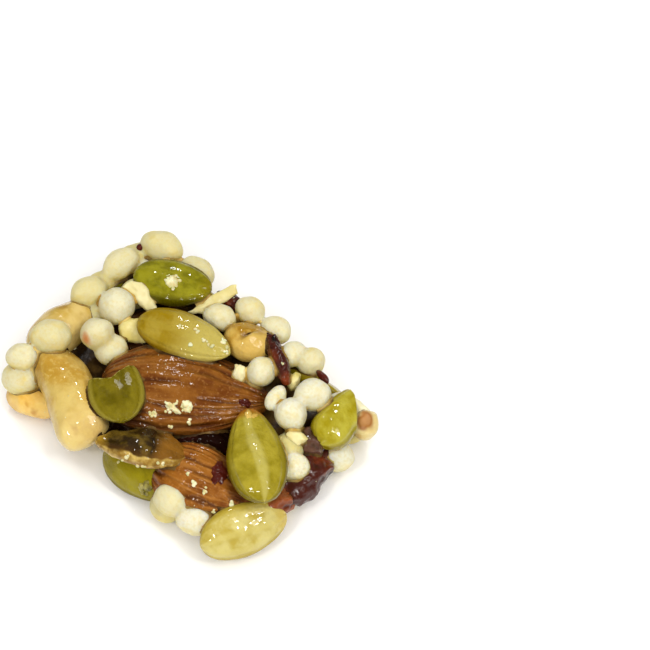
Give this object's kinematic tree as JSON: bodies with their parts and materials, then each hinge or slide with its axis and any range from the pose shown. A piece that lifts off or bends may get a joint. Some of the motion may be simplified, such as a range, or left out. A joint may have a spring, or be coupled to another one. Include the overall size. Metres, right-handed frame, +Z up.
{
  "type": "energy bar",
  "caption": "Short slab of crisp puffs in hardened syrup with almonds, pumpkin seeds, nuts and dried cranberries pressed in; lies on its flat underside.",
  "frame": {"origin": "on the flat underside, at the middle of the slab", "axes": "+X along the bar, +Y across it, +Z up out of the broad face"},
  "size_m": [0.0489, 0.0361, 0.0127],
  "materials": {
    "crisp_puff": "matt ivory crisp puffs and pale flakes, held by clear brown syrup",
    "almond_skin": "brown ridged almond skin with a thin syrup gloss",
    "pumpkin_seed": "smooth olive green hulled pumpkin seed with a syrup gloss",
    "nut_flesh": "roasted honey yellow nut flesh with a syrup gloss",
    "dried_cranberry": "wrinkled dark maroon dried fruit, sticky and shiny"
  },
  "bodies": {
    "root": {"almond_1": "almond_skin", "almond_2": "almond_skin", "almond_3": "almond_skin", "cashew_1": "nut_flesh", "cranberry_1": "dried_cranberry", "cranberry_2": "dried_cranberry", "cranberry_3": "dried_cranberry", "cranberry_4": "dried_cranberry", "cranberry_5": "dried_cranberry", "cranberry_6": "dried_cranberry", "cranberry_7": "dried_cranberry", "cranberry_8": "dried_cranberry", "cranberry_9": "dried_cranberry", "crisp_mass": "crisp_puff", "peanut_1": "nut_flesh", "peanut_2": "nut_flesh", "peanut_3": "nut_flesh", "peanut_4": "nut_flesh", "peanut_5": "nut_flesh", "peanut_6": "nut_flesh", "peanut_7": "nut_flesh", "pumpkin_seed_1": "pumpkin_seed", "pumpkin_seed_10": "pumpkin_seed", "pumpkin_seed_11": "pumpkin_seed", "pumpkin_seed_12": "pumpkin_seed", "pumpkin_seed_13": "pumpkin_seed", "pumpkin_seed_14": "pumpkin_seed", "pumpkin_seed_2": "pumpkin_seed", "pumpkin_seed_3": "pumpkin_seed", "pumpkin_seed_4": "pumpkin_seed", "pumpkin_seed_5": "pumpkin_seed", "pumpkin_seed_6": "pumpkin_seed", "pumpkin_seed_7": "pumpkin_seed", "pumpkin_seed_8": "pumpkin_seed", "pumpkin_seed_9": "pumpkin_seed"}
  },
  "joints": []
}
